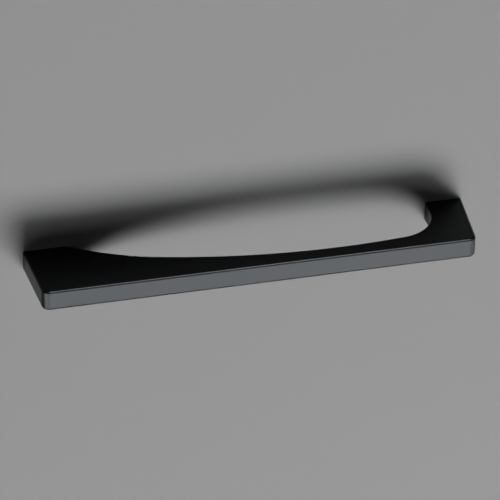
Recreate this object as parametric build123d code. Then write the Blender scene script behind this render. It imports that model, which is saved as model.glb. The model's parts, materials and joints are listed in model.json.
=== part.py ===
from build123d import *
import math
import os

# Cabinet handle: one solid casting, screwed to a door or drawer front from behind through two feet.
# Frame: the feet stand on z = 0, +Z points out of the cabinet front, X runs along the handle.
# The long, tapering foot is at +X and the short, upright leg at -X. Sizes are in millimetres and degrees.

# Overall form
hole_spacing = 160.0
hole_to_end = 9.0
projection = 29.5
thickness = 8.7
end_slope = 5.0

# Feet, measured along X where they meet the cabinet front
long_foot = 18.5
short_foot = 15.0

# Bar and finger gap: the bar is thinnest at the apex, which lies off centre, towards the short leg
bar_depth = 6.6
apex_offset = 31.5
grip_radius = 290.0
grip_run = 68.0
corner_radius = 16.0
least_leg_run = 1.0

# Rounding of the casting's edges
front_corner_radius = 3.0
edge_radius = 1.0

# Blind tapped holes for the fixing screws
thread_diameter = 4.0
hole_depth = 12.0
drill_point_angle = 118.0
countersink_diameter = 4.8

half_base = hole_spacing / 2 + hole_to_end
half_front = half_base - projection * math.tan(math.radians(end_slope))
tiny = 1e-6


def side_profile():
    """Outline of the solid blank, seen along Y: a long trapezium with both ends leaning in."""
    blank = make_face(
        Polyline(
            (-half_base, 0),
            (half_base, 0),
            (half_front, projection),
            (-half_front, projection),
            close=True,
        )
    )
    front_corners = blank.vertices().group_by(Axis.Y)[-1]
    return fillet(front_corners, front_corner_radius)


def on_grip(x):
    """Point of the grip arc at a place along the handle."""
    drop = grip_radius - math.sqrt(grip_radius**2 - (x + apex_offset) ** 2)
    return Vector(x, projection - bar_depth - drop)


def finger_gap():
    """Outline of the gap behind the bar: an upright leg, a long grip arc and a taper into the long foot."""
    leg_foot = Vector(short_foot - half_base, 0)
    leg_top = on_grip(leg_foot.X)
    taper_top = on_grip(grip_run - apex_offset)
    taper_foot = Vector(half_base - long_foot, 0)

    leg = Line(leg_foot, leg_top)
    grip = ThreePointArc(leg_top, on_grip(-apex_offset), taper_top)
    taper = TangentArc(taper_top, taper_foot, tangent=grip % 1)
    gap = make_face([leg, grip, taper, Line(taper_foot, leg_foot)])

    corner = gap.vertices().sort_by_distance(leg_top)[0]
    return fillet(corner, min(corner_radius, leg_top.Y - least_leg_run))


def casting():
    """The handle's body: the profile, as wide as the bar is thick, with all edges eased but the soles'."""
    profile = Plane.XZ * (side_profile() - finger_gap())
    body = extrude(profile, thickness / 2, both=True)
    outlines = [edge for edge in body.edges() if abs(edge.center().Y) > thickness / 2 - tiny]
    eased = [edge for edge in outlines if edge.center().Z > tiny]
    return fillet(eased, edge_radius)


def tapped_hole():
    """Space of one blind hole, entered from below: countersunk mouth, full thread width, drill point."""
    radius = thread_diameter / 2
    mouth = countersink_diameter / 2
    point = radius / math.tan(math.radians(drill_point_angle / 2))
    half_section = make_face(
        Polyline(
            (0, 0),
            (mouth, 0),
            (radius, mouth - radius),
            (radius, hole_depth),
            (0, hole_depth + point),
            close=True,
        )
    )
    return revolve(Plane.XZ * half_section, Axis.Z)


handle = casting()
for side in (-1, 1):
    handle -= Pos(side * hole_spacing / 2, 0, 0) * tapped_hole()

os.makedirs("parts", exist_ok=True)
export_step(handle, "parts/handle.step")
print("handle volume", round(handle.volume), "mm3, box", handle.bounding_box().size)
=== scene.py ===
# %% [markdown]
# # A satin black cabinet handle
#
# The object is a one-piece pull for a cabinet door or drawer, cast in zinc alloy, with every edge that shows
# eased, and coated black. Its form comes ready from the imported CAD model, which is loaded here as a fixed
# frame: nothing in this file moves it or changes its mesh. What is left for Blender is its finish, the screw
# threads inside its feet, and a studio that shows both. All lengths are metres, and the handle stands on its
# two soles, at z = 0.

import json
import math

import bmesh
import bpy
from mathutils import Matrix, Vector


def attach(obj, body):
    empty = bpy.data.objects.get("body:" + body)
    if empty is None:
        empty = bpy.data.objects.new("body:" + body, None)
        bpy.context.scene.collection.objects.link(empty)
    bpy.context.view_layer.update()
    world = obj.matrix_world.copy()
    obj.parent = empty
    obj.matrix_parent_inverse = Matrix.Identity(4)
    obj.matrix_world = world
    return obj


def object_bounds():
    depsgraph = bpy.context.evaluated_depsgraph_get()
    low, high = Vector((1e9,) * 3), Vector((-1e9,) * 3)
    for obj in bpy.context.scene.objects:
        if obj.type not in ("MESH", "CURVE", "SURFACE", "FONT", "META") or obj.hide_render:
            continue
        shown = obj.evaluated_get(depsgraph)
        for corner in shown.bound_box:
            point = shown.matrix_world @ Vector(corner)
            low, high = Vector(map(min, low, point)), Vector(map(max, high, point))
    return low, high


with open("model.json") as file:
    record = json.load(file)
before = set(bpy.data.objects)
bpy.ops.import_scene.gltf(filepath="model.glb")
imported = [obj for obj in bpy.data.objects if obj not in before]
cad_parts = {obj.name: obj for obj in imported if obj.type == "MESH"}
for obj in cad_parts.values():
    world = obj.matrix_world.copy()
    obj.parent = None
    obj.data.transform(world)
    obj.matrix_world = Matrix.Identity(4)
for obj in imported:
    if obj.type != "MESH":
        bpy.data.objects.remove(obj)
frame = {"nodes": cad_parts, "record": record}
scene = bpy.context.scene
handle = frame["nodes"]["handle"]
millimetre = 0.001

cad_low, cad_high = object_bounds()
sides = [round(side / millimetre, 1) for side in cad_high - cad_low]
print("handle", sides, "mm,", len(handle.data.polygons), "faces")

# %% [markdown]
# ## The camera
#
# The photograph looks at the handle as it hangs on a vertical front: from the front, from above and a little
# from the left, through a long lens. Here the handle stands on its feet instead, so the picture's upward
# direction is the handle's -Y side, and the camera is turned over to match. It could be turned by angles, but
# the order of three turns is easy to get wrong. A camera's matrix has its right, up and backward directions
# as columns, so three vectors place it at once. The numbers were fitted to the handle's edges in the picture.

# %% Camera
view_azimuth = math.radians(20.17)
view_elevation = math.radians(53.55)
view_roll = math.radians(0.99)
view_distance = 1.1847
aim = Vector((-0.0021, 0.0082, 0.0))


def add_object(name, data):
    """A new object in the scene, at the origin."""
    thing = bpy.data.objects.new(name, data)
    scene.collection.objects.link(thing)
    return thing


towards_camera = Vector((
    math.sin(view_azimuth) * math.cos(view_elevation),
    -math.cos(view_azimuth) * math.cos(view_elevation),
    math.sin(view_elevation),
))
picture_up = Vector((0, -1, 0))
picture_right = picture_up.cross(towards_camera).normalized()
axes = Matrix((picture_right, towards_camera.cross(picture_right), towards_camera)).transposed()
stand = Matrix.Translation(aim + view_distance * towards_camera)

long_lens = bpy.data.cameras.new("long_lens")
long_lens.sensor_width = 36.0
long_lens.lens = 214.9
camera = add_object("camera", long_lens)
camera.matrix_world = stand @ axes.to_4x4() @ Matrix.Rotation(view_roll, 4, "Z")
scene.camera = camera
scene.view_settings.view_transform = "Standard"
print("camera stands at", [round(x, 3) for x in camera.location])

# %% [markdown]
# ## The floor
#
# The pale floor plays the door front that the handle is screwed to: both soles stand on it, and it catches
# the shadow of the bar. A grid of one face is enough, because its edge lies far outside every view. It is
# matt, so that no lamp shows in it, and it isn't part of the object.

# %% Floor
floor_half = 3.0
floor_grey = (0.32, 0.32, 0.323, 1)


def finished_mesh(name, shape):
    """The mesh of a finished bmesh, which is freed."""
    mesh = bpy.data.meshes.new(name)
    shape.to_mesh(mesh)
    shape.free()
    return mesh


def new_material(name):
    """A material to fill in, with its node tree and its shader."""
    material = bpy.data.materials.new(name)
    material.use_nodes = True
    return material, material.node_tree, material.node_tree.nodes["Principled BSDF"]


floor_shape = bmesh.new()
bmesh.ops.create_grid(floor_shape, x_segments=1, y_segments=1, size=floor_half)
floor = add_object("floor", finished_mesh("floor", floor_shape))

floor_paint, floor_tree, floor_shader = new_material("pale_floor")
floor_shader.inputs["Base Color"].default_value = floor_grey
floor_shader.inputs["Roughness"].default_value = 0.9
floor_shader.inputs["Specular IOR Level"].default_value = 0.0
floor.data.materials.append(floor_paint)
print("floor", 2 * floor_half, "m square")

# %% [markdown]
# ## The softbox
#
# A black object is drawn by what it reflects, so each lamp hangs where some part of the handle mirrors it
# towards the camera. One large softbox hangs over the far side. The bar's outer face mirrors it as an even
# grey sheen, and it throws the soft shadow towards the camera. A real softbox is brightest in its middle,
# and the shadow shows that: it has a dark core and a wide, faint rim. One even lamp can't do that, so two
# ellipses make the softbox. Lamps are placed and sized by angles here, because angles are what a reflection
# and a shadow depend on, and they hang far away, so that the floor is lit evenly.

# %% Softbox
lamp_distance = 4.0


def ellipse_lamp(name, swing, tilt, width, height, glow):
    """A lamp that faces the handle. Swing along it, tilt across it and both sizes are degrees, as seen from
    the handle, and glow is the power of each square metre in watts."""
    swing, tilt, width, height = (math.radians(angle) for angle in (swing, tilt, width, height))
    along = Vector((math.cos(swing), 0, -math.sin(swing)))
    upright = Vector((math.sin(swing), 0, math.cos(swing)))
    backward = math.cos(tilt) * upright + math.sin(tilt) * Vector((0, 1, 0))
    turn = Matrix((along, backward.cross(along), backward)).transposed()

    ellipse = bpy.data.lights.new(name, "AREA")
    ellipse.shape = "ELLIPSE"
    ellipse.size = 2 * lamp_distance * math.tan(width / 2)
    ellipse.size_y = 2 * lamp_distance * math.tan(height / 2)
    ellipse.energy = glow * math.pi / 4 * ellipse.size * ellipse.size_y
    lamp = add_object(name, ellipse)
    lamp.matrix_world = Matrix.Translation(lamp_distance * backward) @ turn.to_4x4()
    print(name, round(ellipse.energy), "W at", [round(x, 2) for x in lamp.location])
    return lamp


ellipse_lamp("softbox_core", swing=-18, tilt=33, width=37, height=23, glow=42)
ellipse_lamp("softbox_rim", swing=-20, tilt=26, width=80, height=36, glow=4.5)

# %% [markdown]
# ## Lamps for the edges
#
# The side of the bar that faces the camera mirrors only the floor, and stays nearly black. Its rounded edges
# would vanish with it, so three more lamps draw them. One behind the camera gives the thin bright line along
# the bar, and one past each end carries the sheen of the outer face round the corner. Blender lets a lamp
# show in reflections without lighting anything else. That is used here, so that these lamps wash out neither
# the shadow on the floor nor the black of the coat. A dim white world fills in the rest.

# %% Edge lamps and world
edge_lamps = (
    ellipse_lamp("upper_edge_lamp", swing=-20, tilt=-47, width=21, height=26, glow=122),
    ellipse_lamp("long_foot_lamp", swing=38, tilt=33, width=76, height=19, glow=42),
    ellipse_lamp("short_leg_lamp", swing=-63, tilt=33, width=50, height=16, glow=17),
)
for lamp in edge_lamps:
    lamp.visible_diffuse = False

fill_strength = 0.01
world = bpy.data.worlds.new("studio")
world.use_nodes = True
sky = world.node_tree.nodes["Background"]
sky.inputs["Color"].default_value = (1, 1, 1, 1)
sky.inputs["Strength"].default_value = fill_strength
scene.world = world
print(len(edge_lamps), "lamps as reflections only, world", fill_strength)

# %% [markdown]
# ## A helper for nodes
#
# A material in Blender is a small graph of nodes. Wiring one takes three steps each time: add a node, choose
# its settings, and fill its inputs with a value or a link. One helper does all three, so that the cells below
# read like a list of nodes.

# %% Node helper
def add_node(tree, kind, inputs=(), **settings):
    """A new node with its settings, and with each named or numbered input linked to a socket or set."""
    node = tree.nodes.new(kind)
    for setting, value in settings.items():
        setattr(node, setting, value)
    for socket, value in dict(inputs).items():
        if isinstance(value, bpy.types.NodeSocket):
            tree.links.new(value, node.inputs[socket])
        else:
            node.inputs[socket].default_value = value
    return node


def mix_colours(tree, factor, first, second):
    """A blend of two colours. The mix node has its colours at inputs 6 and 7, and the result at output 2."""
    return add_node(tree, "ShaderNodeMix", {0: factor, 6: first, 7: second}, data_type="RGBA").outputs[2]


def spread(tree, noise, low, high):
    """A noise, which mostly stays between 0.3 and 0.7, stretched over the range from low to high."""
    inputs = {"Value": noise, "From Min": 0.3, "From Max": 0.7, "To Min": low, "To Max": high}
    return add_node(tree, "ShaderNodeMapRange", inputs).outputs["Result"]


print("a new material starts with", len(floor_tree.nodes), "nodes")

# %% [markdown]
# ## Cut zinc
#
# The threads are cut after the coat is on, so the metal is bare inside the holes: a light grey zinc with fine
# rings from the tool. Two things show it, the wall of each hole, which belongs to the handle's own mesh, and
# the threads, which are made below. The look is therefore built once, as a node group, and placed in both
# materials. The rings come from a noise in one dimension, up the hole, because a turning tool leaves the same
# mark all round.

# %% Node group for cut zinc
zinc_dark = (0.42, 0.42, 0.43, 1)
zinc_bright = (0.62, 0.62, 0.63, 1)

cut_zinc = bpy.data.node_groups.new("cut_zinc", "ShaderNodeTree")
cut_zinc.interface.new_socket("Vector", in_out="INPUT", socket_type="NodeSocketVector")
cut_zinc.interface.new_socket("Ring Scale", in_out="INPUT", socket_type="NodeSocketFloat")
cut_zinc.interface.new_socket("Color", in_out="OUTPUT", socket_type="NodeSocketColor")
cut_zinc.interface.new_socket("Roughness", in_out="OUTPUT", socket_type="NodeSocketFloat")
cut_zinc.interface.new_socket("Height", in_out="OUTPUT", socket_type="NodeSocketFloat")

entry = add_node(cut_zinc, "NodeGroupInput").outputs
rise = add_node(cut_zinc, "ShaderNodeSeparateXYZ", {"Vector": entry["Vector"]}).outputs["Z"]
ring_inputs = {"W": rise, "Scale": entry["Ring Scale"], "Detail": 3.0}
rings = add_node(cut_zinc, "ShaderNodeTexNoise", ring_inputs, noise_dimensions="1D").outputs["Fac"]
zinc_outputs = {
    "Color": mix_colours(cut_zinc, spread(cut_zinc, rings, 0.0, 1.0), zinc_dark, zinc_bright),
    "Roughness": spread(cut_zinc, rings, 0.40, 0.26),
    "Height": rings,
}
add_node(cut_zinc, "NodeGroupOutput", zinc_outputs)
print("cut_zinc has", len(cut_zinc.nodes), "nodes")

# %% [markdown]
# ## The black coat
#
# The handle wears one even coat of satin black, sprayed on and baked. Up close such a coat is never quite
# flat: it has drawn into slow waves about two millimetres long, called orange peel, and a fine grain lies on
# them. Both are only some hundredths of a millimetre deep, too shallow to model, so they go into the bump.
# The gloss varies too, in broad patches and with the grain. The colour is nearly black and slightly cold, and
# what the eye reads as grey is the reflection. All patterns read Object coordinates, which are metres in the
# handle's own frame, so the scale of a noise is one over the size of its features.

# %% Coat texture
coat_dark = (0.0070, 0.0078, 0.0092, 1)
coat_light = (0.0092, 0.0100, 0.0114, 1)


def coat_noise(feature_size, detail):
    """A noise over the coat whose features have a given size."""
    inputs = {"Vector": place, "Scale": 1 / feature_size, "Detail": detail}
    return add_node(coat_tree, "ShaderNodeTexNoise", inputs).outputs["Fac"]


def coat_math(operation, *values):
    """The result of a sum, a product or a comparison, as a node of the coat."""
    return add_node(coat_tree, "ShaderNodeMath", enumerate(values), operation=operation).outputs["Value"]


coat, coat_tree, coat_shader = new_material("satin_black_coat")
place = add_node(coat_tree, "ShaderNodeTexCoord").outputs["Object"]

grain = coat_noise(feature_size=0.25 * millimetre, detail=2.0)
peel = coat_noise(feature_size=2.2 * millimetre, detail=1.0)
patches = coat_noise(feature_size=30 * millimetre, detail=2.0)

coat_colour = mix_colours(coat_tree, patches, coat_dark, coat_light)
broad_gloss = spread(coat_tree, patches, low=0.27, high=0.30)
fine_gloss = spread(coat_tree, grain, low=-0.015, high=0.015)
coat_roughness = coat_math("ADD", broad_gloss, fine_gloss)
waves = spread(coat_tree, peel, low=0.0, high=0.6)
specks = spread(coat_tree, grain, low=0.0, high=0.12)
coat_height = coat_math("ADD", waves, specks)
print("coat texture has", len(coat_tree.nodes), "nodes so far")

# %% [markdown]
# ## Bare metal in the holes
#
# The handle has a single material slot, so coat and bare metal share one material, and a mask decides between
# them. Painting it by hand would need a UV map, and the distance from a hole's axis does it without one. Both
# holes lie on the X axis at equal distances from the middle, so taking X without its sign puts them on top of
# each other, and one distance does for both. A limit in height keeps the bar's outer face, which lies over
# the holes, out of the mask. The grain of the coat frays its edge a little.

# %% Hole mask
screw_holes = next(mount for mount in frame["record"]["mounts"] if mount["name"] == "screw_holes")
hole_x = screw_holes["dims"]["spacing_x_mm"] / 2 * millimetre
hole_radius = screw_holes["dims"]["hole_r_mm"] * millimetre
mouth_radius = hole_radius + 0.40 * millimetre
fray = 0.06 * millimetre
bare_height = 16 * millimetre

spot = add_node(coat_tree, "ShaderNodeSeparateXYZ", {"Vector": place}).outputs
from_hole = coat_math("SUBTRACT", coat_math("ABSOLUTE", spot["X"]), hole_x)
across_hole = add_node(coat_tree, "ShaderNodeCombineXYZ", {"X": from_hole, "Y": spot["Y"]}).outputs["Vector"]
distance = add_node(coat_tree, "ShaderNodeVectorMath", {0: across_hole}, operation="LENGTH").outputs["Value"]

frayed_radius = spread(coat_tree, grain, low=mouth_radius - fray, high=mouth_radius)
inside = coat_math("LESS_THAN", distance, frayed_radius)
bare = coat_math("MULTIPLY", inside, coat_math("LESS_THAN", spot["Z"], bare_height))
print("bare metal within", round(mouth_radius / millimetre, 2), "mm of two axes")

# %% [markdown]
# ## The coat's shader
#
# The mask now chooses between coat and zinc for each socket that differs between them. What is the same all
# over is set on the shader itself: a low specular level, because the matting agent in the coat scatters part
# of the light, and a slight blue tint of the reflection.

# %% Coat shader
def by_mask(off, on):
    """A value that is off where the coat covers the metal, and on where it is bare."""
    inputs = {"Value": bare, "To Min": off, "To Max": on}
    return add_node(coat_tree, "ShaderNodeMapRange", inputs).outputs["Result"]


wall_ring = 0.15 * millimetre
relief_depth = 0.02 * millimetre
wall_inputs = {"Vector": place, "Ring Scale": 1 / wall_ring}
wall_zinc = add_node(coat_tree, "ShaderNodeGroup", wall_inputs, node_tree=cut_zinc).outputs

relief = by_mask(coat_height, wall_zinc["Height"])
bump_inputs = {"Height": relief, "Strength": 1.0, "Distance": relief_depth}
coat_links = {
    "Base Color": mix_colours(coat_tree, bare, coat_colour, wall_zinc["Color"]),
    "Metallic": bare,
    "Roughness": by_mask(coat_roughness, wall_zinc["Roughness"]),
    "Normal": add_node(coat_tree, "ShaderNodeBump", bump_inputs).outputs["Normal"],
}
for socket, value in coat_links.items():
    coat_tree.links.new(value, coat_shader.inputs[socket])
coat_shader.inputs["Specular IOR Level"].default_value = 0.118
coat_shader.inputs["Specular Tint"].default_value = (0.88, 0.95, 1.0, 1)

handle.material_slots[0].material = coat
print("coat on", handle.name, "with", len(coat_tree.nodes), "nodes")

# %% [markdown]
# ## The threads
#
# Each foot takes an M4 machine screw, so its hole has a thread of 0.7 mm pitch. The CAD model leaves the wall
# smooth at the thread's outer radius, and here the ridge between the turns is added as a piece of its own. It
# could be faked with a bump, but a ridge this deep shows its outline at the mouth. It is a small trapezium
# swept along a helix, and bmesh has an operator for that: spin turns a face about an axis, and its step along
# the axis, dvec, makes the circle a helix. The proportions are those of a metric thread, all taken from the
# pitch, and the root is sunk into the wall a little, so that no gap shows.

# %% Thread sizes
pitch = 0.7 * millimetre
thread_depth = 5 / 8 * math.sqrt(3) / 2 * pitch
root_half = 7 / 16 * pitch
crest_half = pitch / 8
sunk = 0.03 * millimetre

steps_a_turn = 48
full_turns = 12
run_out_steps = 16
thread_start = 0.75 * millimetre
crest_radius = hole_radius - thread_depth
print("crest of the thread at", round(crest_radius / millimetre, 3), "mm from the axis")

# %% [markdown]
# ## The ridge
#
# A cut thread isn't at its full depth from end to end: it fades in at the countersunk mouth, and out where
# the tapered nose of the tap stopped. The ridge could end square, but that leaves two blunt steps. Spin hands
# back the last ring that it made, and the next spin can go on from there, so the ridge is made in three runs.
# In the first and the last, each step is a spin of its own, after which the two crest corners of the new ring
# are scaled about the axis of the hole. A trial ridge is then made and checked for open edges, which are
# those that don't have two faces.

# %% Ridge of a thread
def spin_on(shape, ring, axis_x, steps):
    """Carries the last ring of the ridge on along the helix, and gives the new last ring."""
    spun = bmesh.ops.spin(
        shape,
        geom=ring,
        cent=(axis_x, 0, 0),
        axis=(0, 0, 1),
        dvec=(0, 0, pitch / steps_a_turn),
        angle=2 * math.pi * steps / steps_a_turn,
        steps=steps,
    )
    return spun["geom_last"]


def run_out(shape, ring, axis_x, factor):
    """Spins one end of the ridge, and scales the distance of its crest from the axis at each step."""
    about_axis = Matrix.Translation((-axis_x, 0, 0))
    for step in range(run_out_steps):
        ring = spin_on(shape, ring, axis_x, 1)
        corners = [part for part in ring if isinstance(part, bmesh.types.BMVert)]
        corners.sort(key=lambda corner: math.hypot(corner.co.x - axis_x, corner.co.y))
        bmesh.ops.scale(shape, verts=corners[:2], vec=(factor, factor, 1), space=about_axis)
    return ring


def thread_ridge(axis_x):
    """The ridge of one thread, with its crest at the wall at both ends."""
    shape = bmesh.new()
    root = hole_radius + sunk
    section = ((root, -root_half), (root, root_half), (hole_radius, crest_half), (hole_radius, -crest_half))
    first = shape.faces.new([shape.verts.new((axis_x + r, 0, thread_start + z)) for r, z in section])
    ring = [first, *first.edges, *first.verts]

    fade = (crest_radius / hole_radius) ** (1 / run_out_steps)
    ring = run_out(shape, ring, axis_x, fade)
    ring = spin_on(shape, ring, axis_x, full_turns * steps_a_turn)
    run_out(shape, ring, axis_x, 1 / fade)
    bmesh.ops.recalc_face_normals(shape, faces=shape.faces)
    return shape


trial = thread_ridge(0.0)
open_edges = sum(len(edge.link_faces) != 2 for edge in trial.edges)
print("ridge with", len(trial.faces), "faces and", open_edges, "open edges")
trial.free()

# %% [markdown]
# ## Both threads
#
# The two holes are alike, so a loop makes both threads. Their metal is the cut zinc from above, with finer
# rings, because a tap cuts more finely than a drill. Smooth shading rounds the helix, and marking edges above
# 30 degrees as sharp keeps the corners of the ridge crisp.

# %% Threads in both feet
tap_ring = 0.06 * millimetre
tap_mark_depth = 0.004 * millimetre
crisp_angle = math.radians(30)

thread_metal, thread_tree, thread_shader = new_material("cut_thread")
thread_place = add_node(thread_tree, "ShaderNodeTexCoord").outputs["Object"]
tap_inputs = {"Vector": thread_place, "Ring Scale": 1 / tap_ring}
tap_cut = add_node(thread_tree, "ShaderNodeGroup", tap_inputs, node_tree=cut_zinc).outputs
tap_bump_inputs = {"Height": tap_cut["Height"], "Strength": 1.0, "Distance": tap_mark_depth}
tap_bump = add_node(thread_tree, "ShaderNodeBump", tap_bump_inputs).outputs["Normal"]
thread_tree.links.new(tap_cut["Color"], thread_shader.inputs["Base Color"])
thread_tree.links.new(tap_cut["Roughness"], thread_shader.inputs["Roughness"])
thread_tree.links.new(tap_bump, thread_shader.inputs["Normal"])
thread_shader.inputs["Metallic"].default_value = 1.0

for foot, axis_x in (("long_foot", hole_x), ("short_leg", -hole_x)):
    ridge = add_object(f"thread_{foot}", finished_mesh(f"thread_{foot}", thread_ridge(axis_x)))
    ridge.data.shade_smooth()
    ridge.data.set_sharp_from_angle(angle=crisp_angle)
    ridge.data.materials.append(thread_metal)
    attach(ridge, "root")
    heights = [corner.co.z / millimetre for corner in ridge.data.vertices]
    print(ridge.name, "from", round(min(heights), 2), "to", round(max(heights), 2), "mm above the sole")
